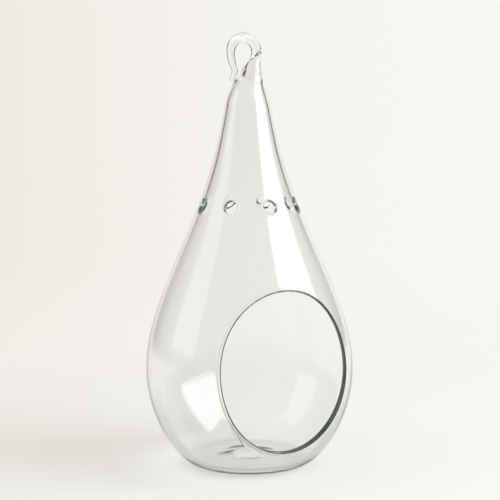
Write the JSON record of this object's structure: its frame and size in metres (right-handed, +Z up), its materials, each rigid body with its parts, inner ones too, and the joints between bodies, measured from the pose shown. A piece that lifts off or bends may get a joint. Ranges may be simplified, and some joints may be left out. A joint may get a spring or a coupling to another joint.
{
  "type": "propagation vase",
  "caption": "Clear glass teardrop vessel that stands on its foot or hangs from a drawn glass hook, with a large oval mouth in its side and a ring of small air vents.",
  "frame": {"origin": "middle of the foot ring, in the plane that the vessel stands on", "axes": "+Z up along the body's axis, -Y out of the side mouth, X in the plane of the hook"},
  "size_m": [0.12, 0.108, 0.2485],
  "materials": {
    "clear_glass": "polished"
  },
  "bodies": {
    "root": {"glass_bulb": "clear_glass", "base": "clear_glass", "mouth_lip": "clear_glass", "hanging_hook": "clear_glass", "vent_lip_1": "clear_glass", "vent_lip_2": "clear_glass", "vent_lip_3": "clear_glass", "vent_lip_4": "clear_glass", "vent_lip_5": "clear_glass", "vent_lip_6": "clear_glass", "vent_lip_7": "clear_glass", "vent_lip_8": "clear_glass"}
  },
  "joints": []
}
